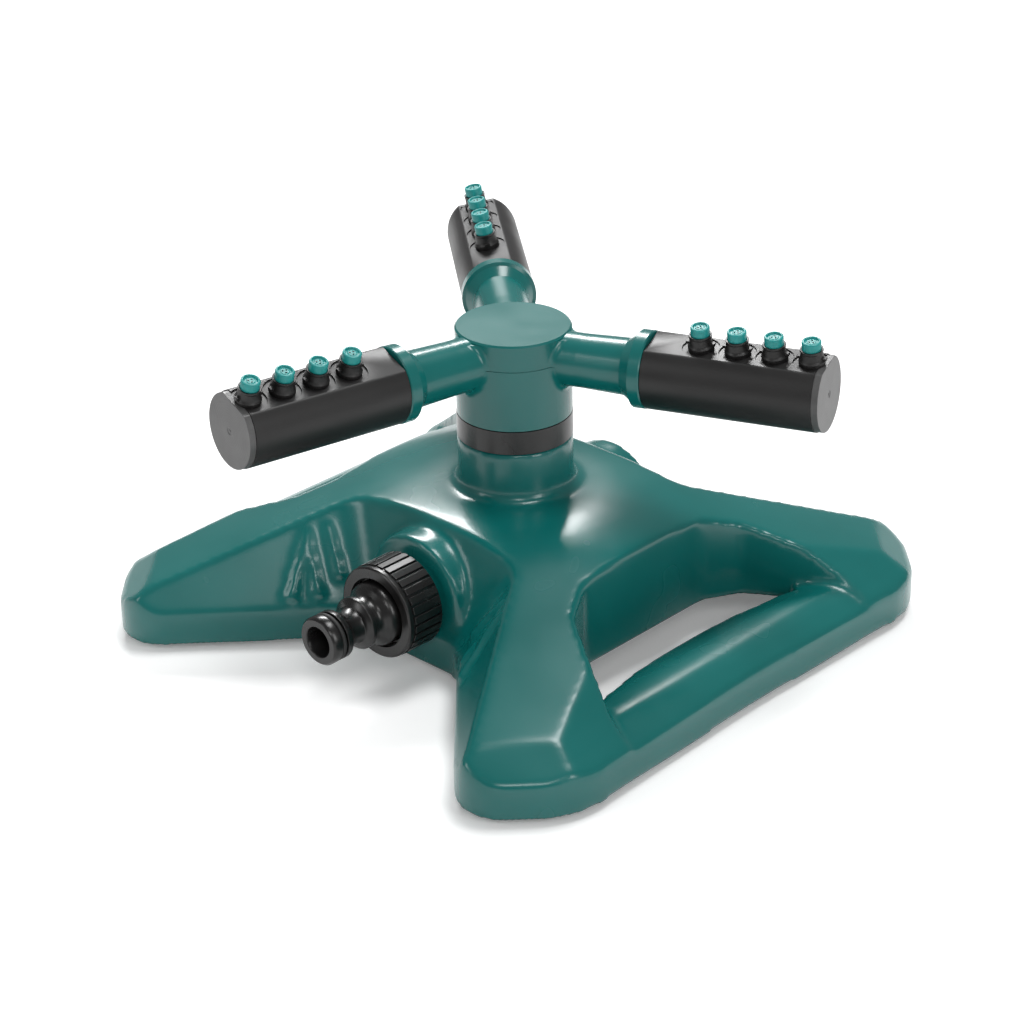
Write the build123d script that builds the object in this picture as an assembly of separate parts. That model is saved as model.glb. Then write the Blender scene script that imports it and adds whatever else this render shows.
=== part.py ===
# Garden sprinkler: a three-arm rotor on a moulded base with four feet, fed by a hose connector.
# Millimetres. Z is up, the floor is z = 0 under the middle of the rotor, and the hose comes from -Y.

from build123d import *
from math import cos, pi, radians, sin, tan
import os

os.makedirs("parts", exist_ok=True)

# Base: plan outline
side_x = 108.2          # outer side of a foot
waist_x = 105.8         # outer side of a side bar at its middle
notch_y = 52.5          # bottom edge of the front and rear arches
notch_half = 21.5       # half the straight run of that edge
leg_angle = 46.5        # slant of a leg's arch side, from the X axis
foot_reach = 139.1      # from the middle to the end face of a foot
foot_angle = 46.0       # slant of the end face, from the X axis
notch_round = 16.0
toe_round = 16.0
heel_round = 30.0

# Base: heights and walls
pad_drop = 2.5          # how far the foot pads hold the moulding off the floor
skirt_height = 12.5
wall = 2.4
saddle_top = 52.2       # height of the flat middle of the moulding
saddle_flat = 26.0      # radius of that flat
saddle_bend = 100.8     # radius of the bend where it starts to fall
saddle_slope = 18.5     # fall of the legs, in degrees
arch_lean = 14.5        # how far the arch wall leans back over its height
leg_lean = 26.0         # how far a leg's arch side leans back over the same height
lean_height = 41.0      # the height those two leans are taken over
facet_angle = 36.0      # slope of the foot's end and outer facets, from the floor

# Base: side openings and bars
window_x = 59.0         # wall of the saddle beside a side opening
window_half = 30.0      # half the straight run of that wall
bar_inner_x = 74.5      # inner edge of a side bar at its middle
bar_tip_x = 84.0        # inner edge of a side bar at its ends
bar_tip_y = 54.0
bar_crest_x = 96.5
bar_crest_z = 19.5
bar_inner_z = 15.0

# Collar and water way
collar_r = 20.0
collar_top = 70.4
collar_foot = 2.6
socket_r = 13.0
socket_floor = 46.0
riser_r = 15.0
riser_bore = 6.0
duct_z = 27.2
duct_r = 10.5
duct_bore = 6.5
boss_r = 21.0
boss_y = 51.0
port_thread_r = 13.1
port_end = 61.0
port_bore = 8.0

# Foot pads
pad_r = 6.5
pad_x = 81.5
pad_y = 96.0
pad_seat = 3.2          # height of the pad's rim
post_r = 8.0
pin_r = 3.0
pin_length = 5.0

# Bearing and shaft
ring_top = 78.6
ring_r = 20.0
spigot_bottom = 62.0
seal_bore = 9.3
seal_top = 56.0
seal_z = 50.6
shaft_r = 8.0
shaft_bore = 5.0
shaft_bottom = 47.0
running = 0.05
spin_gap = 0.3
washer_thick = 1.0
washer_r = 11.6
clip_thick = 1.2
clip_r = 10.5
clip_groove = 7.2
seal_wire = 1.5
shaft_flange_r = 10.5
shaft_flange = 1.5

# Rotor
hub_r = 19.9
hub_bottom = ring_top + spin_gap
arm_z = 100.0           # height of the arms' axes at the middle
hub_top = 109.8
seam_z = 100.4          # where the hub cap closes on the rotor
cap_edge = 1.0
arm_root = 9.2          # radius of an arm at the hub
arm_fillet = 2.6
root_start = 12.5       # where the arms begin inside the hub
root_room = 5.1         # room outside the hub for the fillets at the arms' roots
cap_inset = 0.25
cap_wall = 2.0
arm_tilt = 1.2
arm_turn = 259.6
arm_count = 3
arm_r = 9.7
arm_bore = 6.2
flange_r = 13.2
flange_start = 45.6
flange_end = 50.2
cone_start = 42.0
neck_r = 9.0
neck_end = 65.0
neck_groove = 7.8
neck_seal_s = 56.0      # place of the seal along the arm
neck_seal_wire = 1.2
snap_start = 61.6
snap_end = 63.4
snap_r = 9.6
chamber_r = 12.0
chamber_bottom = 86.0
split_r = hub_r + root_room

# Nozzle heads
head_r = 13.0
head_flat = 11.2
head_start = flange_end + spin_gap
head_end = 108.9
head_bore = 9.3
head_chamber = 8.6
plug_end = 111.2
plug_r = 12.7
nozzle_first = 68.0
nozzle_pitch = 12.6
nozzle_count = 4
base_r = 4.3
base_step = 2.6
base_top_r = 3.7
base_height = 5.0
cap_r = 3.15
cap_sunk = 1.2
cap_height = 3.0
stem_r = 2.5
stem_bore = 1.6
stem_length = 2.4
lug_height = 1.6
lug_out = 0.7
plug_depth = 4.0
jet_r = 0.35
jet_circle = 1.15
head_turns = (-17.0, 8.0, -10.0)

# Hose connector
nut_r = 16.6
nut_front = 68.8
nut_back = 53.2
nut_lip_bore = 12.0
nut_core = 16.0
nut_ribs = 30
thread_clear = 0.3
flange_thick = 2.6
snout_end = 95.3
snout_r = 8.5
snout_bore = 5.3
groove_r = 6.6
neck_low_r = 6.3
shoulder_r = 11.2
flange_r_in = 12.8
waist_r = 8.0
collar_ring_r = 9.2
snout_wire = 1.85
sealing_thick = 1.9

# Plug in the rear end of the water way
plug_stem = 8.0
plug_head_r = 9.5
plug_head = 4.0
plug_washer = 1.5
plug_slot = 1.8
plug_slot_depth = 2.0


def profile(points, plane=Plane.XZ):
    return plane * make_face(Polyline(*points, close=True))


def turned(points):
    # points are (radius, height) about the upright axis
    return revolve(profile(points), Axis.Z)


def turned_x(points):
    # points are (distance along X, radius)
    return revolve(profile(points, Plane.XY), Axis.X)


def turned_y(points):
    # points are (distance along -Y from the middle, radius)
    shape = turned_x(points)
    return Rot(0, 0, -90) * shape


def at_port(shape):
    return Pos(0, 0, duct_z) * shape


def save(shape, name, colour):
    shape.label = name
    shape.color = Color(colour)
    export_step(shape, "parts/" + name + ".step")


# Base outline: half a foot is worked out, and the others are its mirror images
def toe_point():
    # where a leg's arch side meets the end face of the foot
    ca, sa = cos(radians(leg_angle)), sin(radians(leg_angle))
    nx, ny = sin(radians(foot_angle)), cos(radians(foot_angle))
    run = (foot_reach - notch_half * nx - notch_y * ny) / (ca * nx + sa * ny)
    return notch_half + run * ca, notch_y + run * sa


def heel_point():
    nx, ny = sin(radians(foot_angle)), cos(radians(foot_angle))
    return side_x, (foot_reach - side_x * nx) / ny


def outline(inset=0.0):
    toe = toe_point()
    heel = heel_point()
    quarter = [(notch_half, -notch_y), (toe[0], -toe[1]), (heel[0], -heel[1])]
    right = quarter + [(waist_x, 0.0)] + [(x, -y) for x, y in reversed(quarter)]
    points = right + [(-x, -y) for x, y in right]
    rounds = [notch_round, toe_round, heel_round]
    radii = rounds + [900.0] + rounds[::-1]
    face = make_face(FilletPolyline(*points, radius=radii + radii, close=True))
    return offset(face, -inset) if inset else face


def saddle(drop=0.0):
    # solid under the saddle's top: flat middle, bend, then an even fall
    slope = radians(saddle_slope)
    bend_end = saddle_flat + saddle_bend * sin(slope)
    bend_z = saddle_top - saddle_bend * (1 - cos(slope))
    far = 190.0
    far_z = bend_z - (far - bend_end) * tan(slope)
    mid = (saddle_flat + saddle_bend * sin(slope / 2), saddle_top - saddle_bend * (1 - cos(slope / 2)))
    top = Polyline((0, 0), (0, saddle_top), (saddle_flat, saddle_top))
    bend = ThreePointArc((saddle_flat, saddle_top), mid, (bend_end, bend_z))
    rest = Polyline((bend_end, bend_z), (far, far_z), (far, 0), (0, 0))
    face = Plane.XZ * make_face(top + bend + rest)
    return Pos(0, 0, -drop) * revolve(face, Axis.Z)


def arch_cutter(grow=0.0):
    # the space in front of the arch, between two legs, opening upwards as its walls lean back
    ca, sa = cos(radians(leg_angle)), sin(radians(leg_angle))
    reach = 120.0
    low_z = pad_drop + skirt_height
    low_x = notch_half + grow * (1 - ca) / sa
    low_y = notch_y - grow
    high_x = low_x + (leg_lean - arch_lean * ca) / sa
    high_y = low_y - arch_lean
    faces = []
    for x, y, z in ((low_x, low_y, low_z), (high_x, high_y, low_z + lean_height)):
        far_x, far_y = x + reach * ca, y + reach * sa
        corners = [(-x, -y), (x, -y), (far_x, -far_y), (-far_x, -far_y)]
        rounds = [notch_round - grow, notch_round - grow, 0, 0]
        faces.append(Pos(0, 0, z) * make_face(FilletPolyline(*corners, radius=rounds, close=True)))
    return loft(faces, ruled=True)


def facets(inset=0.0):
    # the low pyramid whose faces are the end and outer facets of the feet
    nx, ny = sin(radians(foot_angle)), cos(radians(foot_angle))
    far = 175.0
    front = (foot_reach - far * ny) / nx
    heel = heel_point()
    right = [(front, -far), (heel[0], -heel[1]), (heel[0], heel[1]), (front, far)]
    points = right + [(-x, -y) for x, y in right]
    face = make_face(Polyline(*points, close=True))
    face = offset(face, -inset, kind=Kind.INTERSECTION) if inset else face
    base = pad_drop + skirt_height
    upper = extrude(Pos(0, 0, base) * face, amount=45.0, taper=90 - facet_angle)
    lower = extrude(face, amount=base)
    return upper + lower


def side_space(grow=0.0):
    # plan of the space beside the saddle, between two legs
    g = grow
    points = [(window_x - g, -window_half), (window_x - g, window_half), (66 - g, 43 + g / 2), (84, 54 + g)]
    points += [(99, 61 + g), (128, 66 + g), (128, -66 - g), (99, -61 - g), (84, -54 - g), (66 - g, -43 - g / 2)]
    rounds = [10, 10, 10, 20, 20, 0, 0, 20, 20, 10]
    return make_face(FilletPolyline(*points, radius=rounds, close=True))


def bar(drop=0.0):
    # right-hand side bar: crowned section along Y, with a bowed inner edge
    half = 72.0
    top = Spline((side_x + 4, pad_drop + skirt_height - 3), (waist_x, pad_drop + skirt_height), (bar_crest_x, bar_crest_z),
                 (bar_crest_x - 10, bar_crest_z - 0.9), (bar_inner_x - 4, bar_inner_z - 1.5))
    ends = Polyline((bar_inner_x - 4, bar_inner_z - 1.5), (bar_inner_x - 4, 0), (side_x + 4, 0),
                    (side_x + 4, pad_drop + skirt_height - 3))
    section = Plane.XZ * make_face(top + ends)
    body = Pos(0, half, -drop) * extrude(section, amount=2 * half)
    arc = ThreePointArc((bar_tip_x, -bar_tip_y), (bar_inner_x, 0), (bar_tip_x, bar_tip_y))
    rest = Polyline((bar_tip_x, bar_tip_y), (bar_tip_x, half), (130, half), (130, -half), (bar_tip_x, -half),
                    (bar_tip_x, -bar_tip_y))
    keep = extrude(make_face(arc + rest), amount=60)
    return body & keep


def base_form(inset=0.0):
    # the moulding as a solid block; with an inset it is the hollow inside its walls
    plan = extrude(outline(inset), amount=70)
    body = plan & saddle(inset) & facets(inset)
    for turn in (0, 180):
        body -= Rot(0, 0, turn) * arch_cutter(inset)
        body -= Rot(0, 0, turn) * extrude(side_space(inset), amount=70)
    for turn in (0, 180):
        body += Rot(0, 0, turn) * bar(inset) & plan
        pad = turned_y([(20, 0), (boss_y - inset, 0), (boss_y - inset, boss_r - inset), (20, boss_r - inset)])
        body += Rot(0, 0, turn) * at_port(pad)
    return body


# Base shell: block, hollow, then the collar and the water way moulded with it
def base_shell():
    block = base_form()
    block -= Pos(0, 0, pad_drop / 2) * Box(400, 400, pad_drop)
    low = extrude(outline(wall), amount=pad_drop + skirt_height - 3)
    shell = block - (base_form(wall) + low)
    collar = turned([(0, saddle_top - 3), (collar_r + collar_foot, saddle_top - 0.4), (collar_r + 0.8, saddle_top + 0.9),
                     (collar_r, saddle_top + collar_foot), (collar_r, collar_top), (0, collar_top)])
    riser = Pos(0, 0, (duct_z + saddle_top) / 2) * Cylinder(riser_r, saddle_top - duct_z)
    duct = Rot(90, 0, 0) * Cylinder(duct_r, 2 * (boss_y - wall / 2))
    duct = Pos(0, 0, duct_z) * duct
    shell += collar + riser + duct
    port = turned_y([(boss_y - wall, 0), (port_end, 0), (port_end, port_thread_r - 0.8),
                     (port_end - 0.8, port_thread_r), (boss_y - wall, port_thread_r)])
    shell += at_port(port)
    for x in (-pad_x, pad_x):
        for y in (-pad_y, pad_y):
            shell += (Pos(x, y, pad_seat) * extrude(Circle(post_r), amount=40.0)) & block
            shell -= Pos(x, y, pad_seat + pin_length / 2) * Cylinder(pin_r, pin_length)
    shell -= Pos(0, 0, duct_z) * (Rot(90, 0, 0) * Cylinder(duct_bore, 2 * port_end + 1))
    mouth = turned_y([(port_end - 8, 0), (port_end + 1, 0), (port_end + 1, port_bore), (port_end - 6, port_bore),
                      (port_end - 8, duct_bore)])
    shell -= at_port(mouth)
    seat = turned_y([(boss_y, 0), (boss_y, plug_head_r + spin_gap), (notch_y + 1, plug_head_r + spin_gap), (notch_y + 1, 0)])
    shell -= Rot(0, 0, 180) * at_port(seat)
    shell -= turned([(0, duct_z), (riser_bore, duct_z), (riser_bore, socket_floor), (seal_bore, socket_floor),
                     (seal_bore, seal_top), (socket_r, seal_top), (socket_r, collar_top + 1), (0, collar_top + 1)])
    return shell


def foot_pad():
    rim = turned([(0, 0), (pad_r - 1, 0), (pad_r, 1), (pad_r, pad_seat), (0, pad_seat)])
    return rim + Pos(0, 0, pad_seat + pin_length / 2) * Cylinder(pin_r - running, pin_length)


save(base_shell(), "base_shell", "teal")
for across, x in (("left", -pad_x), ("right", pad_x)):
    for along, y in (("front", -pad_y), ("rear", pad_y)):
        save(Pos(x, y, 0) * foot_pad(), "foot_pad_" + along + "_" + across, "gray")


# Bearing: a ring on the collar, its spigot in the socket, and the hollow shaft that turns in it
bearing_ring = turned([(shaft_r + running, spigot_bottom), (socket_r - running, spigot_bottom),
                       (socket_r - running, collar_top), (ring_r, collar_top), (ring_r, ring_top),
                       (shaft_r + running, ring_top)])
save(bearing_ring, "bearing_ring", "black")

washer_top = spigot_bottom - spin_gap
washer_bottom = washer_top - washer_thick
clip_bottom = washer_bottom - clip_thick
seal_in = shaft_r - seal_wire / 3
shaft = turned([(shaft_bore, shaft_bottom), (shaft_r, shaft_bottom), (shaft_r, seal_z - seal_wire / 2 - 0.1),
                (seal_in, seal_z - seal_wire / 2 - 0.1), (seal_in, seal_z + seal_wire / 2 + 0.1),
                (shaft_r, seal_z + seal_wire / 2 + 0.1), (shaft_r, clip_bottom), (clip_groove, clip_bottom),
                (clip_groove, washer_bottom), (shaft_r, washer_bottom), (shaft_r, chamber_bottom),
                (shaft_flange_r, chamber_bottom), (shaft_flange_r, chamber_bottom + shaft_flange),
                (shaft_bore, chamber_bottom + shaft_flange)])
save(shaft, "hollow_shaft", "gray")

seal = Pos(0, 0, seal_z) * Torus(seal_in + seal_wire / 2, seal_wire / 2)
save(seal, "shaft_seal", "black")

washer = turned([(shaft_r + running, washer_bottom), (washer_r, washer_bottom), (washer_r, washer_top),
                 (shaft_r + running, washer_top)])
save(washer, "slip_washer", "white")

clip = turned([(clip_groove, clip_bottom), (clip_r, clip_bottom), (clip_r, washer_bottom), (clip_groove, washer_bottom)])
clip -= Pos(clip_r, 0, clip_bottom) * Box(2 * clip_r, clip_groove * 1.5, 4)
save(clip, "retaining_clip", "gray")


# Rotor: hub, three arm tubes with their flanges, and the cap that closes the hub down to the seam
def on_arm(index):
    return Pos(0, 0, arm_z) * Rot(0, 0, arm_turn + index * 360 / arm_count) * Rot(0, -arm_tilt, 0)


def arm_tube():
    seal_a = neck_seal_s - neck_seal_wire / 2 - 0.1
    seal_b = neck_seal_s + neck_seal_wire / 2 + 0.1
    return turned_x([(root_start, 0), (root_start, arm_root), (split_r + 1, arm_root), (cone_start, arm_r),
                     (flange_start, flange_r - 1.2), (flange_start + 0.5, flange_r), (flange_end - 0.4, flange_r),
                     (flange_end, flange_r - 0.4), (flange_end, neck_r), (seal_a, neck_r), (seal_a, neck_groove),
                     (seal_b, neck_groove), (seal_b, neck_r), (snap_start, neck_r), (snap_start, snap_r),
                     (snap_end - 0.6, snap_r), (snap_end, neck_r), (neck_end, neck_r), (neck_end, 0)])


def rotor_form():
    # hub and arms as one solid, with the fillets where they meet
    form = turned([(0, hub_bottom), (hub_r, hub_bottom), (hub_r, hub_top + 10), (0, hub_top + 10)])
    for index in range(arm_count):
        form += on_arm(index) * arm_tube()
    roots = [e for e in form.edges() if e.geom_type != GeomType.CIRCLE and e.geom_type != GeomType.LINE
             and hub_r * 0.8 < Vector(e.center().X, e.center().Y, 0).length < hub_r * 1.2]
    return fillet(roots, arm_fillet)


def root_tubes():
    # the arms, cut off inside the hub under the cap's rim
    tubes = on_arm(0) * arm_tube()
    for index in range(1, arm_count):
        tubes += on_arm(index) * arm_tube()
    return tubes - turned([(0, hub_top - cap_edge), (hub_r, hub_top - cap_edge), (hub_r, hub_top + 20), (0, hub_top + 20)])


def rotor_body():
    inner = hub_r - cap_wall
    lid = turned([(0, hub_top - cap_wall), (inner, hub_top - cap_wall), (inner, seam_z), (split_r, seam_z),
                  (split_r, hub_top + 20), (0, hub_top + 20)])
    body = rotor_form() - lid + root_tubes()
    for index in range(arm_count):
        body -= on_arm(index) * (Pos(neck_end / 2 + 4, 0, 0) * (Rot(0, 90, 0) * Cylinder(arm_bore, neck_end)))
    body -= turned([(0, hub_bottom - 1), (shaft_r, hub_bottom - 1), (shaft_r, chamber_bottom), (chamber_r, chamber_bottom),
                    (chamber_r, hub_top), (0, hub_top)])
    return body


def hub_cap():
    inner = hub_r - cap_wall
    rim = hub_top - cap_edge
    skirt = rotor_form() & turned([(inner, seam_z), (split_r, seam_z), (split_r, rim), (inner, rim)])
    disc = turned([(0, hub_top - 4), (chamber_r - running, hub_top - 4), (chamber_r - running, hub_top - cap_wall),
                   (inner, hub_top - cap_wall), (inner, rim), (hub_r, rim), (hub_r, hub_top - 0.6), (hub_r - 0.6, hub_top),
                   (0, hub_top)])
    groove = turned([(hub_r - cap_inset, seam_z), (split_r, seam_z), (split_r, seam_z + cap_inset),
                     (hub_r - cap_inset, seam_z + cap_inset)])
    return skirt + disc - root_tubes() - groove


save(rotor_body(), "rotor_body", "teal")
save(hub_cap(), "hub_cap", "teal")


# Nozzle heads: drawn along X with the row of nozzles upwards, then turned about the arm and put on it
def flat_cut(height):
    return Pos(neck_end, 0, height + 10) * Box(4 * neck_end, 60, 20)


def head_body():
    body = turned_x([(head_start, head_bore), (head_start, head_r - 0.5), (head_start + 0.5, head_r),
                     (head_end, head_r), (head_end, head_chamber), (neck_end + 1.5, head_chamber),
                     (neck_end + 1.5, head_bore), (snap_end + spin_gap, head_bore), (snap_end + spin_gap, snap_r + spin_gap),
                     (snap_start - spin_gap, snap_r + spin_gap), (snap_start - spin_gap, head_bore)])
    body -= flat_cut(head_flat)
    for s in nozzle_places():
        body -= Pos(s, 0, head_flat) * Cylinder(stem_r, 10)
    return body


def nozzle_places():
    return [nozzle_first + nozzle_pitch * k for k in range(nozzle_count)]


def end_plug():
    body = turned_x([(head_end - plug_depth, 0), (head_end - plug_depth, head_chamber - running),
                     (head_end, head_chamber - running), (head_end, plug_r), (plug_end - 0.3, plug_r),
                     (plug_end, plug_r - 0.3), (plug_end, 0)])
    return body - flat_cut(head_flat - (head_r - plug_r))


def nozzle_base():
    top = head_flat + base_height
    low = head_flat - stem_length
    body = turned([(stem_bore, low), (stem_r, low), (stem_r, head_flat), (base_r, head_flat),
                   (base_r, head_flat + base_step), (base_top_r + 0.2, head_flat + base_step + 0.4), (base_top_r, top),
                   (cap_r + running, top), (cap_r + running, top - cap_sunk), (stem_bore, top - cap_sunk)])
    for turn in (0, 180):
        body += Rot(0, 0, turn) * (Pos(base_r, 0, head_flat + lug_height) * Box(lug_out * 2, 1.8, 1.2))
    return body


def nozzle_cap():
    low = head_flat + base_height - cap_sunk
    top = head_flat + base_height + cap_height
    dish = top - 0.7
    body = turned([(0, dish - 1.2), (stem_bore, dish - 1.2), (stem_bore, low), (cap_r, low), (cap_r, top - 0.3),
                   (cap_r - 0.3, top), (cap_r - 0.9, top), (cap_r - 1.1, dish), (0, dish)])
    for k in range(3):
        angle = radians(90 + 120 * k)
        body -= Pos(jet_circle * cos(angle), jet_circle * sin(angle), dish) * Cylinder(jet_r, 4)
    return body


for index, letter in enumerate("abc"):
    place = on_arm(index) * Rot(head_turns[index], 0, 0)
    name = "head_" + letter + "_"
    save(place * head_body(), name + "body", "black")
    save(place * end_plug(), name + "end_plug", "black")
    bases = Compound(children=[place * Pos(s, 0, 0) * nozzle_base() for s in nozzle_places()])
    save(bases, name + "nozzle_bases", "black")
    caps = Compound(children=[place * Pos(s, 0, 0) * nozzle_cap() for s in nozzle_places()])
    save(caps, name + "nozzle_caps", "cyan")
    neck_seal = Pos(neck_seal_s, 0, 0) * (Rot(0, 90, 0) * Torus(neck_groove + neck_seal_wire / 2, neck_seal_wire / 2))
    save(on_arm(index) * neck_seal, "arm_" + letter + "_seal", "gray")


# Hose connector on the front port: a ribbed union nut holds the nipple's flange against a flat washer
def ribs(count, start, end, inner, outer):
    width = 2 * pi * outer / count * 0.55
    one = Pos((start + end) / 2, 0, (inner + outer) / 2) * Box(end - start, width, outer - inner)
    group = [Rot(360 * k / count, 0, 0) * one for k in range(count)]
    return [Rot(0, 0, -90) * rib for rib in group]


flange_back = port_end + sealing_thick
flange_front = flange_back + flange_thick
lip_back = flange_front + spin_gap
thread_bore = port_thread_r + thread_clear


def union_nut():
    body = turned_y([(nut_back, thread_bore), (nut_back, nut_core), (nut_front - 2.6, nut_core),
                     (nut_front - 2.2, nut_r - 0.2), (nut_front - 0.6, nut_r - 0.2), (nut_front, nut_r - 0.8),
                     (nut_front, nut_lip_bore), (lip_back, nut_lip_bore), (lip_back, thread_bore)])
    for rib in ribs(nut_ribs, nut_back + 0.4, nut_front - 2.4, nut_core - 0.6, nut_r):
        body += rib
    return body


def nipple():
    tip = snout_end
    return turned_y([(flange_back, snout_bore), (flange_back, flange_r_in), (flange_front, flange_r_in),
                     (flange_front, shoulder_r), (nut_front + 1.2, shoulder_r), (nut_front + 3.0, shoulder_r - 0.9),
                     (nut_front + 4.4, waist_r + 0.8), (nut_front + 5.2, waist_r), (nut_front + 7.6, waist_r),
                     (nut_front + 8.2, collar_ring_r), (nut_front + 9.6, collar_ring_r), (nut_front + 11.2, neck_low_r),
                     (tip - 10.4, neck_low_r), (tip - 8.4, snout_r - 0.3), (tip - 8.0, snout_r), (tip - 6.2, snout_r),
                     (tip - 6.2, groove_r), (tip - 3.6, groove_r), (tip - 3.6, snout_r), (tip - 0.8, snout_r),
                     (tip, snout_r - 0.8), (tip, snout_bore)])


def flat_washer(start, thick, inner, outer):
    return turned_y([(start, inner), (start, outer), (start + thick, outer), (start + thick, inner)])


def snout_seal():
    ring = Torus(groove_r + snout_wire / 2, snout_wire / 2)
    return Pos(0, -(snout_end - 4.9), 0) * (Rot(90, 0, 0) * ring)


def outlet_plug():
    seat = boss_y + plug_washer
    stem_r = duct_bore - thread_clear
    body = turned_y([(boss_y - plug_stem, 0), (boss_y - plug_stem, stem_r - 0.8), (boss_y - plug_stem + 0.8, stem_r),
                     (seat, stem_r), (seat, plug_head_r), (seat + plug_head - 1, plug_head_r),
                     (seat + plug_head, plug_head_r - 1), (seat + plug_head, 0)])
    return body - Pos(0, -(seat + plug_head), 0) * Box(1.6 * plug_head_r, 2 * plug_slot_depth, plug_slot)


save(at_port(union_nut()), "union_nut", "black")
save(at_port(nipple()), "hose_nipple", "black")
save(at_port(flat_washer(port_end, sealing_thick, port_bore + 0.2, flange_r_in)), "inlet_washer", "gray")
save(at_port(snout_seal()), "nipple_seal", "black")
save(Rot(0, 0, 180) * at_port(outlet_plug()), "outlet_plug", "black")
plug_ring = flat_washer(boss_y, plug_washer, duct_bore + 0.2, plug_head_r - 0.5)
save(Rot(0, 0, 180) * at_port(plug_ring), "outlet_washer", "gray")
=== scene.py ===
# A rotating garden sprinkler dressed for its picture: a moulded base on four feet, a rotor with three
# arms, three nozzle heads that turn on the arms, and a hose connector. Everything is in metres.

import math

import bmesh
import bpy
from mathutils import Matrix, Vector


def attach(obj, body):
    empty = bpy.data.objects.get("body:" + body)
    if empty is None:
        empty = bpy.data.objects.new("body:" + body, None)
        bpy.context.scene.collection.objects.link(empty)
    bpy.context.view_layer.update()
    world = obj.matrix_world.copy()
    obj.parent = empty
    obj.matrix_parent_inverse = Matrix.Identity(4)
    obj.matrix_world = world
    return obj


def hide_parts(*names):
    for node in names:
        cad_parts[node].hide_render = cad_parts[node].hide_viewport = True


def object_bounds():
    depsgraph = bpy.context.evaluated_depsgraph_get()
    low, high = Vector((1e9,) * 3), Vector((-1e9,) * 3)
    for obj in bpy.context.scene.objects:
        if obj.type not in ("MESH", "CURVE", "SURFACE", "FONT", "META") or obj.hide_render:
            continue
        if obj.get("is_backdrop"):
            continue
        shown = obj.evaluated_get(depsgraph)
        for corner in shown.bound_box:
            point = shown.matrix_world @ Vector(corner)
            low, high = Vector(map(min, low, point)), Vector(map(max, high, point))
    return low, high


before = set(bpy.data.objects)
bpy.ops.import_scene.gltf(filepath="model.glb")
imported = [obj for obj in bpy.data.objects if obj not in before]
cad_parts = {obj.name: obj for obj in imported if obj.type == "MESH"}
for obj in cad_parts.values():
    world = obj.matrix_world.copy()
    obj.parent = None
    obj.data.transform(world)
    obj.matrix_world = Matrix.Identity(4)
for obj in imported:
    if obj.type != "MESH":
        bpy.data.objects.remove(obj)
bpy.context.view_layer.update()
mm = 0.001


# Camera: a tripod in front and to the right of the sprinkler, looking down at about 27 degrees.
# It looks at the rotor's axis a little above the base, from just over 0.9 m away.
azimuth, elevation = math.radians(43.8), 0.470
camera_turn, camera_roll = 0.002, -0.020
target, camera_distance = Vector((0, 0, 38.8 * mm)), 912.6 * mm
out = Vector((math.cos(elevation) * math.sin(azimuth), -math.cos(elevation) * math.cos(azimuth),
              math.sin(elevation)))
sight = Matrix.Rotation(camera_turn, 3, "Z") @ -out
side = sight.cross(Vector((0, 0, 1))).normalized()
above = side.cross(sight).normalized()
level = math.cos(camera_roll) * side + math.sin(camera_roll) * above
upright = math.cos(camera_roll) * above - math.sin(camera_roll) * side
camera = bpy.data.objects.new("camera", bpy.data.cameras.new("camera"))
camera.data.sensor_width = 36.0
camera.data.lens = 91.99
camera.data.clip_start, camera.data.clip_end = 0.05, 20.0
facing = Matrix((level, upright, -sight)).transposed().to_4x4()
camera.matrix_world = Matrix.Translation(target + out * camera_distance) @ facing
bpy.context.scene.collection.objects.link(camera)
bpy.context.scene.camera = camera


# Studio: a white paper sweep under soft lamps, with a large soft box above and behind on the left.
# The paper is seen as white by the camera, and keeps the sprinkler's soft shadow.
def linear(code):
    channels = [int(code[i:i + 2], 16) / 255 for i in (1, 3, 5)]
    return tuple(c / 12.92 if c <= 0.04045 else ((c + 0.055) / 1.055) ** 2.4 for c in channels) + (1.0,)


def add(tree, kind, settings=None, **inputs):
    # one shader node; an input is a number, a colour or another node's output, and goes to the socket
    # of that name, with spaces for underscores, or of that number where it is written i0, i1 and so on
    node = tree.nodes.new(kind)
    for key, value in (settings or {}).items():
        setattr(node, key, value)
    for key, value in inputs.items():
        numbered = key[0] == "i" and key[1:].isdigit()
        socket = node.inputs[int(key[1:])] if numbered else node.inputs[key.replace("_", " ")]
        if isinstance(value, bpy.types.NodeSocket):
            tree.links.new(value, socket)
        else:
            socket.default_value = value
    return node


def blank(name):
    material = bpy.data.materials.new(name)
    material.use_nodes = True
    material.node_tree.nodes.clear()
    return material, material.node_tree


paper, tree = blank("white_paper_sweep")
where = add(tree, "ShaderNodeTexCoord")
fibre = add(tree, "ShaderNodeTexNoise", Vector=where.outputs["Object"], Scale=1 / (1.5 * mm), Detail=3.0)
tooth = add(tree, "ShaderNodeBump", Strength=0.05, Distance=0.1 * mm, Height=fibre.outputs["Fac"])
seen = add(tree, "ShaderNodeLightPath")
lift = add(tree, "ShaderNodeMath", {"operation": "MULTIPLY"}, i0=seen.outputs["Is Camera Ray"], i1=0.17)
sheen = add(tree, "ShaderNodeBsdfPrincipled", Base_Color=linear("#F8F8F8"), Roughness=0.9,
            Specular_IOR_Level=0.1, Normal=tooth.outputs[0], Emission_Color=linear("#FFFFFF"),
            Emission_Strength=lift.outputs[0])
add(tree, "ShaderNodeOutputMaterial", Surface=sheen.outputs[0])
sweep = bpy.data.meshes.new("paper_sweep")
shape = bmesh.new()
bmesh.ops.create_grid(shape, x_segments=2, y_segments=2, size=3.0)
shape.to_mesh(sweep)
shape.free()
sweep.materials.append(paper)
floor = bpy.data.objects.new("paper_sweep", sweep)
bpy.context.scene.collection.objects.link(floor)
floor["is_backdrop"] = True

world = bpy.data.worlds.new("studio")
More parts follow.
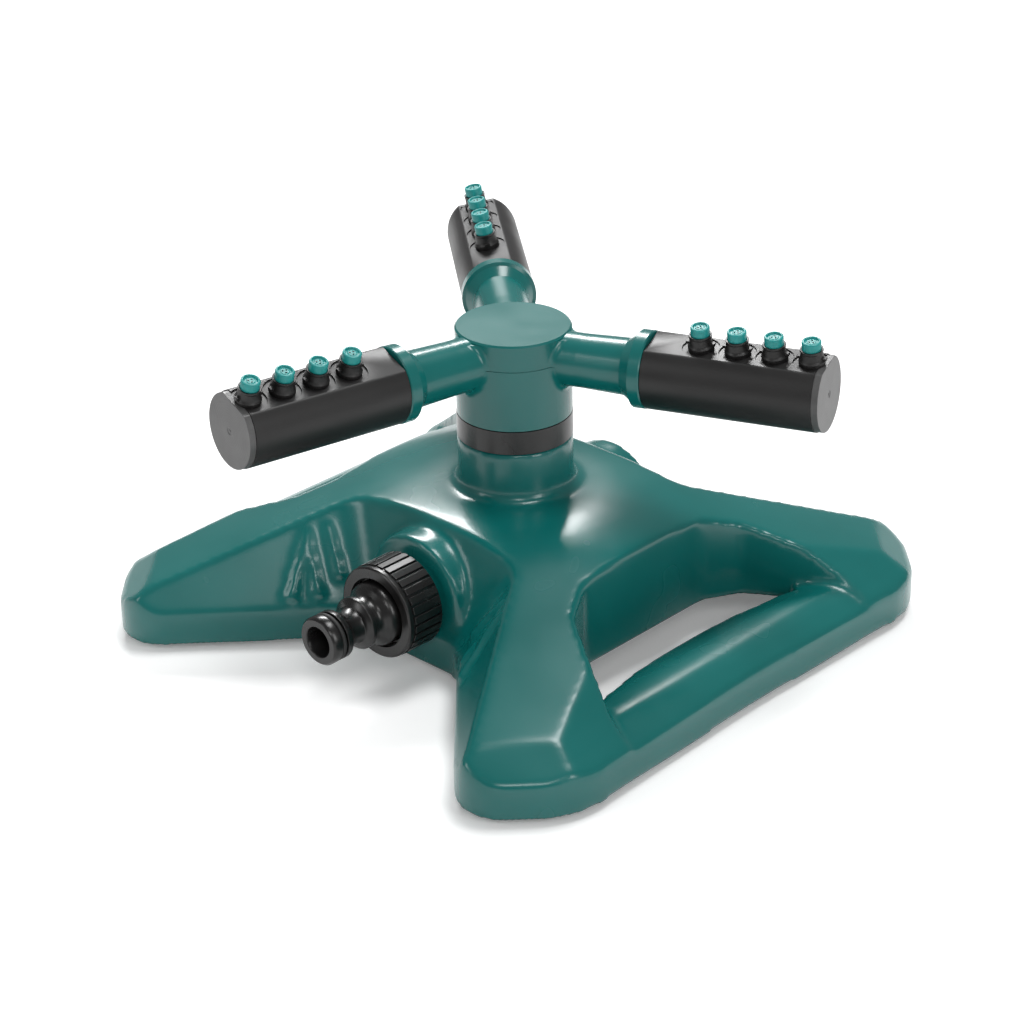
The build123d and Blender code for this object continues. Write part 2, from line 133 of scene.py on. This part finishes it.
bpy.context.scene.world = world
world.use_nodes = True
tree = world.node_tree
tree.nodes.clear()
seen = add(tree, "ShaderNodeLightPath")
dim = add(tree, "ShaderNodeBackground", Color=linear("#EEEEEE"), Strength=0.30)
white = add(tree, "ShaderNodeBackground", Color=linear("#FFFFFF"), Strength=1.0)
mixed = add(tree, "ShaderNodeMixShader", i0=seen.outputs["Is Camera Ray"], i1=dim.outputs[0],
            i2=white.outputs[0])
add(tree, "ShaderNodeOutputWorld", Surface=mixed.outputs[0])


def soft_box(name, place, aim, width, height, power):
    lamp = bpy.data.lights.new(name, "AREA")
    lamp.shape, lamp.size, lamp.size_y, lamp.energy = "RECTANGLE", width, height, power
    holder = bpy.data.objects.new(name, lamp)
    holder.location = place
    holder.rotation_mode = "QUATERNION"
    holder.rotation_quaternion = (Vector(aim) - Vector(place)).to_track_quat("-Z", "Y")
    bpy.context.scene.collection.objects.link(holder)


soft_box("box_back_left", (-0.9, 0.7, 1.1), (0, 0, 0.05), 0.7, 0.35, 20.0)
soft_box("box_overhead", (0.2, 0.3, 1.5), (0, 0, 0.05), 0.6, 0.5, 12.0)
soft_box("box_front", (-0.5, -1.4, 0.8), (0, 0, 0.06), 0.5, 0.9, 5.0)
soft_box("box_by_camera", (0.95, -0.8, 1.05), (0, 0, 0.06), 0.35, 0.35, 3.0)
soft_box("box_right", (1.5, -0.1, 0.7), (0, 0, 0.06), 0.4, 0.8, 6.0)


# Base moulding: one injection moulding in glossy dyed ABS, about 2.4 mm thick and open underneath.
# The mould's edges are generously rounded, so the solid's shell is closed in and eased here.
def moulded(name, colour, deep, rough, grain_mm, coat):
    # dyed plastic or rubber out of a mould: even colour, a soft sheen, and a faint ripple where it shrank
    material, tree = blank(name)
    where = add(tree, "ShaderNodeTexCoord")
    cloud = add(tree, "ShaderNodeTexNoise", Vector=where.outputs["Object"], Scale=1 / (28 * mm),
                Detail=2.0, Roughness=0.5)
    ripple = add(tree, "ShaderNodeTexNoise", Vector=where.outputs["Object"], Scale=1 / (grain_mm * mm),
                 Detail=2.0, Roughness=0.6)
    tint = add(tree, "ShaderNodeMix", {"data_type": "RGBA"}, i0=cloud.outputs["Fac"], i6=linear(deep),
               i7=linear(colour))
    gloss = add(tree, "ShaderNodeMapRange", i0=cloud.outputs["Fac"], i1=0.3, i2=0.7, i3=rough * 0.86,
                i4=rough * 1.12)
    relief = add(tree, "ShaderNodeBump", Strength=0.05, Distance=0.2 * mm, Height=ripple.outputs["Fac"])
    skin = add(tree, "ShaderNodeBsdfPrincipled", Base_Color=tint.outputs["Result"],
               Roughness=gloss.outputs[0], Normal=relief.outputs[0], IOR=1.5, Coat_Weight=coat,
               Coat_Roughness=0.1)
    add(tree, "ShaderNodeOutputMaterial", Surface=skin.outputs[0])
    return material


teal_abs = moulded("glossy_teal_ABS", "#076562", "#055A57", 0.25, 1.1, 0.1)


def paint(node, material):
    target_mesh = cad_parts[node].data
    target_mesh.materials.clear()
    target_mesh.materials.append(material)


# Ribs stiffen the leg walls of the front arch, each a tapering ridge: two of them spread from one point
# as an A, and a third stands beside it, nearer the boss.
rib_foot_radius, rib_top_radius = 2.1, 1.0
rib_runs = [((-45.9, -57.0, 38.1), (-40.9, -70.6, 17.9)), ((-45.9, -57.0, 38.1), (-34.6, -63.2, 18.4)),
            ((-42.1, -51.0, 40.2), (-31.8, -55.1, 23.9))]
wall_ribs = bmesh.new()
for top, foot in rib_runs:
    for way in (1, -1):
        low, high = (Vector((x * way, y, z)) * mm for x, y, z in (foot, top))
        turn = (high - low).to_track_quat("Z", "Y").to_matrix().to_4x4()
        bmesh.ops.create_cone(wall_ribs, cap_ends=True, segments=20,
                              radius1=rib_foot_radius * mm, radius2=rib_top_radius * mm,
                              depth=(high - low).length, matrix=Matrix.Translation((low + high) / 2) @ turn)


def from_solid(node, extra, voxel, passes, name):
    # a closed copy of a moulding's solid, joined with the extra forms, with its edges eased
    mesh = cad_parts[node].data.copy()
    shape = bmesh.new()
    shape.from_mesh(mesh)
    bmesh.ops.remove_doubles(shape, verts=shape.verts, dist=0.005 * mm)
    added = bpy.data.meshes.new(name + "_added")
    extra.to_mesh(added)
    extra.free()
    shape.from_mesh(added)
    bpy.data.meshes.remove(added)
    shape.to_mesh(mesh)
    shape.free()
    raw = bpy.data.objects.new(name + "_raw", mesh)
    bpy.context.scene.collection.objects.link(raw)
    closed = raw.modifiers.new("closed", "REMESH")
    closed.mode, closed.voxel_size = "VOXEL", voxel * mm
    eased = raw.modifiers.new("eased", "SMOOTH")
    eased.factor, eased.iterations = 0.5, passes
    baked = bpy.data.meshes.new_from_object(raw.evaluated_get(bpy.context.evaluated_depsgraph_get()))
    bpy.data.objects.remove(raw)
    baked.name = name
    baked.shade_smooth()
    return baked


mesh = from_solid("base_shell", wall_ribs, 1.4, 6, "base_moulding")
mesh.materials.clear()
mesh.materials.append(teal_abs)
base_moulding = bpy.data.objects.new("base_moulding", mesh)
bpy.context.scene.collection.objects.link(base_moulding)
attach(base_moulding, "base")
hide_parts("base_shell")


# Rotor: hub, arms and hub cap are moulded in the same teal ABS, welded along the seam round the hub.
# The CAD solids have the right shape, so they only take the plastic here.
paint("rotor_body", teal_abs)
paint("hub_cap", teal_abs)


# Bearing ring: black nylon with a bright moulded finish, between the collar and the turning hub.
gloss_black = moulded("gloss_black_nylon", "#141313", "#101010", 0.27, 1.4, 0.0)
paint("bearing_ring", gloss_black)


# Nozzle heads: black polypropylene tubes with a flat along the top, snapped on the ends of the arms.
# Each nozzle stands in a shallow round recess in the flat, which leaves a scalloped edge beside it.
arm_height, arm_tilt = 100.0 * mm, math.radians(1.2)
arm_turns = {"a": 259.6, "b": 19.6, "c": 139.6}
head_turns = {"a": -17.0, "b": 8.0, "c": -10.0}
head_start, head_end, head_radius, flat_height = 50.5, 108.9, 13.0, 11.2
nozzle_places = [68.0, 80.6, 93.2, 105.8]
recess_radius, recess_depth, recess_flare, cutter_height = 6.2, 0.45, 0.5, 4


def placed(letter):
    return (Matrix.Translation((0, 0, arm_height)) @ Matrix.Rotation(math.radians(arm_turns[letter]), 4, "Z")
            @ Matrix.Rotation(-arm_tilt, 4, "Y") @ Matrix.Rotation(math.radians(head_turns[letter]), 4, "X"))


def turned(points, steps=96):
    # a solid of revolution about X, from (distance along X, radius) in millimetres
    shape = bmesh.new()
    verts = [shape.verts.new((along * mm, 0, radius * mm)) for along, radius in points]
    edges = [shape.edges.new(pair) for pair in zip(verts, verts[1:])]
    bmesh.ops.spin(shape, geom=verts + edges, cent=(0, 0, 0), axis=(1, 0, 0), dvec=(0, 0, 0),
                   angle=2 * math.pi, steps=steps, use_merge=True, use_duplicate=False)
    bmesh.ops.remove_doubles(shape, verts=shape.verts, dist=0.002 * mm)
    bmesh.ops.recalc_face_normals(shape, faces=shape.faces)
    return shape


def piece(name, shape, material, body, nodes, bevel=0.3, angle=32.0):
    mesh = bpy.data.meshes.new(name)
    shape.to_mesh(mesh)
    shape.free()
    mesh.materials.append(material)
    mesh.shade_smooth()
    made = bpy.data.objects.new(name, mesh)
    bpy.context.scene.collection.objects.link(made)
    if bevel:
        edge = made.modifiers.new("moulded_edges", "BEVEL")
        edge.width, edge.segments, edge.limit_method = bevel * mm, 3, "ANGLE"
        edge.angle_limit, edge.harden_normals = math.radians(angle), True
    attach(made, body)
    if nodes:
        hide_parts(*nodes)


def carved(shape, tools, name):
    # the shape with the tools' solids taken out of it
    blocks = []
    for part in (shape, tools):
        mesh = bpy.data.meshes.new(name)
        part.to_mesh(mesh)
        part.free()
        block = bpy.data.objects.new(name, mesh)
        bpy.context.scene.collection.objects.link(block)
        blocks.append(block)
    cut = blocks[0].modifiers.new("cut", "BOOLEAN")
    cut.operation, cut.solver, cut.object = "DIFFERENCE", "EXACT", blocks[1]
    mesh = bpy.data.meshes.new_from_object(blocks[0].evaluated_get(bpy.context.evaluated_depsgraph_get()))
    for block in blocks:
        bpy.data.objects.remove(block)
    result = bmesh.new()
    result.from_mesh(mesh)
    bmesh.ops.dissolve_limit(result, angle_limit=math.radians(0.5), verts=result.verts, edges=result.edges)
    return result


def flattened(shape, height):
    # the solid cut level at a height in millimetres, and closed there
    cut = bmesh.ops.bisect_plane(shape, geom=shape.verts[:] + shape.edges[:] + shape.faces[:],
                                 dist=0.0001 * mm, plane_co=(0, 0, height * mm), plane_no=(0, 0, 1),
                                 clear_outer=True)
    rim = [item for item in cut["geom_cut"] if isinstance(item, bmesh.types.BMEdge)]
    bmesh.ops.contextual_create(shape, geom=rim)


satin_black = moulded("satin_black_PP", "#151414", "#111010", 0.42, 0.8, 0.0)
for letter in "abc":
    shape = turned([(head_start, 0), (head_start, head_radius), (head_end, head_radius), (head_end, 0)])
    flattened(shape, flat_height)
    tools = bmesh.new()
    for along in nozzle_places:
        made = bmesh.ops.create_cone(tools, cap_ends=True, segments=48, radius1=recess_radius * mm,
                                     radius2=(recess_radius + recess_flare) * mm, depth=cutter_height * mm)
        middle = flat_height - recess_depth + cutter_height / 2
        bmesh.ops.translate(tools, verts=made["verts"], vec=(along * mm, 0, middle * mm))
    shape = carved(shape, tools, "head_" + letter)
    bmesh.ops.transform(shape, matrix=placed(letter), verts=shape.verts)
    head = "head_" + letter
    piece(head + "_tube", shape, satin_black, head, [head + "_body"], 0.25)


# End plugs: grey-black discs pressed into the heads' ends. The gate in the middle was trimmed by a
# cutter, which left fine rings on the face.
plug_radius, plug_face, plug_flat, ring_spacing = 12.7, 111.2, 10.9, 0.9
gate_profile = [(111.2, 1.3), (111.05, 1.1), (111.05, 0.5), (111.2, 0.4)]


def faced_plug(letter):
    material, tree = blank("faced_grey_PP_" + letter)
    where = add(tree, "ShaderNodeTexCoord")
    centred = add(tree, "ShaderNodeMapping", {"vector_type": "TEXTURE"}, Vector=where.outputs["Object"],
                  Location=placed(letter).to_translation(), Rotation=placed(letter).to_euler())
    # the rings are drawn coarser than the real ones, so that they show
    rings = add(tree, "ShaderNodeTexWave", {"wave_type": "RINGS", "rings_direction": "X"},
                Vector=centred.outputs[0], Scale=2 * math.pi / (20 * ring_spacing * mm), Distortion=0.6,
                Detail=1.0)
    cloud = add(tree, "ShaderNodeTexNoise", Vector=centred.outputs[0], Scale=1 / (7 * mm), Detail=3.0)
    tint = add(tree, "ShaderNodeMix", {"data_type": "RGBA"}, i0=cloud.outputs["Fac"],
               i6=linear("#3E3E3E"), i7=linear("#575757"))
    relief = add(tree, "ShaderNodeBump", Strength=0.12, Distance=0.1 * mm, Height=rings.outputs["Fac"])
    skin = add(tree, "ShaderNodeBsdfPrincipled", Base_Color=tint.outputs["Result"], Roughness=0.38,
               Normal=relief.outputs[0])
    add(tree, "ShaderNodeOutputMaterial", Surface=skin.outputs[0])
    return material


for letter in "abc":
    shape = turned([(head_end, 0), (head_end, plug_radius), (plug_face, plug_radius)] + gate_profile
                   + [(plug_face, 0)])
    flattened(shape, plug_flat)
    bmesh.ops.transform(shape, matrix=placed(letter), verts=shape.verts)
    head = "head_" + letter
    piece(head + "_end", shape, faced_plug(letter), head, [head + "_end_plug"], 0.3)


# Nozzles: a black socket pushed into the head, with two small lugs, and a soft turquoise cap in it.
# The cap has a raised rim round a dished face, where an insert carries three fine jets.
socket_profile = [(-0.6, 0), (-0.6, 4.35), (1.0, 4.35), (1.5, 3.95), (1.9, 3.8), (4.1, 3.7), (4.3, 3.85),
                  (5.0, 3.85), (5.0, 3.2), (4.2, 3.2), (4.2, 0)]
cap_profile = [(4.0, 0), (4.0, 3.1), (7.5, 3.2), (7.85, 3.05), (8.0, 2.75), (8.0, 2.45), (7.8, 2.25),
               (7.4, 2.15), (7.4, 1.5), (7.55, 1.42), (7.55, 0)]
lug_size, lug_reach, lug_rise = Vector((1.6, 1.7, 1.0)), 4.15, 1.7
jet_radius, jet_circle, jet_rise, jet_thickness = 0.3, 0.75, 7.57, 0.1
upright_turn = Matrix.Rotation(-math.pi / 2, 4, "Y")


def soft_cap():
    # TPE, a little translucent, so light softens inside it
    material, tree = blank("turquoise_TPE")
    where = add(tree, "ShaderNodeTexCoord")
    cloud = add(tree, "ShaderNodeTexNoise", Vector=where.outputs["Object"], Scale=1 / (3 * mm), Detail=3.0)
    tint = add(tree, "ShaderNodeMix", {"data_type": "RGBA"}, i0=cloud.outputs["Fac"],
               i6=linear("#0A7C7A"), i7=linear("#159390"))
    relief = add(tree, "ShaderNodeBump", Strength=0.1, Distance=0.1 * mm, Height=cloud.outputs["Fac"])
    skin = add(tree, "ShaderNodeBsdfPrincipled", Base_Color=tint.outputs["Result"], Roughness=0.42,
               Normal=relief.outputs[0], Subsurface_Weight=0.2, Subsurface_Scale=1.0,
               Subsurface_Radius=(0.3 * mm, 0.8 * mm, 0.8 * mm))
    add(tree, "ShaderNodeOutputMaterial", Surface=skin.outputs[0])
    return material


turquoise = soft_cap()
for letter in "abc":
    sockets, caps, inserts = bmesh.new(), bmesh.new(), bmesh.new()
    for along in nozzle_places:
        here = placed(letter) @ Matrix.Translation((along * mm, 0, flat_height * mm)) @ upright_turn
        for whole, profile, steps in ((sockets, socket_profile, 40), (caps, cap_profile, 48)):
            one = turned(profile, steps)
            bmesh.ops.transform(one, matrix=here, verts=one.verts)
            mesh = bpy.data.meshes.new("one")
            one.to_mesh(mesh)
            one.free()
            whole.from_mesh(mesh)
            bpy.data.meshes.remove(mesh)
        for way in (-1, 1):
            lug = bmesh.ops.create_cube(sockets, size=1.0)
            bmesh.ops.scale(sockets, verts=lug["verts"], vec=lug_size * mm)
            place = Vector((along + way * lug_reach, 0, flat_height + lug_rise)) * mm
            bmesh.ops.translate(sockets, verts=lug["verts"], vec=place)
            bmesh.ops.transform(sockets, matrix=placed(letter), verts=lug["verts"])
        for third in range(3):
            turn = math.radians(90 + 120 * third)
            jet = bmesh.ops.create_cone(inserts, cap_ends=True, segments=12, radius1=jet_radius * mm,
                                        radius2=jet_radius * mm, depth=jet_thickness * mm)
            place = Vector((along + jet_circle * math.cos(turn), jet_circle * math.sin(turn),
                            flat_height + jet_rise)) * mm
            bmesh.ops.translate(inserts, verts=jet["verts"], vec=place)
            bmesh.ops.transform(inserts, matrix=placed(letter), verts=jet["verts"])
    head = "head_" + letter
    piece(head + "_sockets", sockets, satin_black, head, [head + "_nozzle_bases"], 0.12)
    piece(head + "_caps", caps, turquoise, head, [head + "_nozzle_caps"], 0.08)
    piece(head + "_jets", inserts, gloss_black, head, [], 0)


# Union nut: gloss black nylon with thirty grip ribs behind a plain rim, and an inner lip that holds
# the nipple's flange.
port_height = 27.2
rib_count, rib_size, rib_middle, rib_radius = 30, Vector((12.4, 2.6, 1.1)), 60.0, 15.95
to_port = Matrix.Translation((0, 0, port_height * mm)) @ Matrix.Rotation(-math.pi / 2, 4, "Z")
shape = turned([(53.2, 13.5), (53.2, 15.7), (53.6, 15.95), (66.6, 15.95), (66.9, 16.3), (68.3, 16.3),
                (68.8, 15.7), (68.8, 12.3), (66.2, 12.1), (65.8, 12.9), (65.8, 13.4), (53.2, 13.5)], 120)
for number in range(rib_count):
    rib = bmesh.ops.create_cube(shape, size=1.0)
    round_the_nut = Matrix.Rotation(math.radians(360 / rib_count * number), 3, "X")
    bmesh.ops.scale(shape, verts=rib["verts"], vec=rib_size * mm)
    bmesh.ops.translate(shape, verts=rib["verts"], vec=Vector((rib_middle, 0, rib_radius)) * mm)
    bmesh.ops.rotate(shape, verts=rib["verts"], cent=(0, 0, 0), matrix=round_the_nut)
bmesh.ops.transform(shape, matrix=to_port, verts=shape.verts)
piece("ribbed_nut", shape, gloss_black, "nut", ["union_nut"], 0.28)


# Hose nipple: one turned-looking moulding, with a shoulder inside the nut, a waist, a collar that the
# hose connector's claws grip, and a snout with its seal groove.
shape = turned([(62.9, 5.3), (62.9, 12.8), (65.5, 12.8), (65.5, 11.2), (69.6, 11.2), (70.8, 10.9),
                (71.8, 10.1), (72.8, 8.9), (73.6, 8.3), (74.6, 8.0), (76.4, 8.0), (76.9, 9.2), (78.4, 9.2),
                (79.2, 8.4), (80.0, 6.6), (81.0, 6.3), (84.6, 6.3), (85.8, 7.0), (86.9, 8.3), (87.3, 8.5),
                (89.1, 8.5), (89.1, 6.7), (91.7, 6.7), (91.7, 8.5), (94.4, 8.5), (95.3, 7.8), (95.3, 5.6),
                (94.9, 5.3), (62.9, 5.3)], 120)
bmesh.ops.transform(shape, matrix=to_port, verts=shape.verts)
piece("nipple_moulding", shape, gloss_black, "connector", ["hose_nipple"], 0.2, 38.0)


# Small parts: rubber pads under the feet, seals and washers in black rubber, an acetal shaft and slip
# washer, a steel clip, and the nylon plug in the rear end of the water way.
soft_rubber = moulded("black_rubber", "#202020", "#1A1A1A", 0.6, 0.5, 0.0)
acetal = moulded("natural_acetal", "#D9D8D0", "#D2D1C8", 0.4, 1.0, 0.0)
strip_steel = moulded("spring_steel_strip", "#9A9A98", "#8E8E8C", 0.3, 0.5, 0.0)
for letter in "abc":
    paint("arm_" + letter + "_seal", soft_rubber)
for node in ("inlet_washer", "outlet_washer", "nipple_seal", "shaft_seal", "foot_pad_front_left",
             "foot_pad_front_right", "foot_pad_rear_left", "foot_pad_rear_right"):
    paint(node, soft_rubber)
for node in ("hollow_shaft", "slip_washer"):
    paint(node, acetal)
paint("outlet_plug", gloss_black)
paint("retaining_clip", strip_steel)


# The picture keeps plain colours, and the sizes of the dressed part are measured.
bpy.context.scene.view_settings.view_transform = "Standard"
low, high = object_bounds()
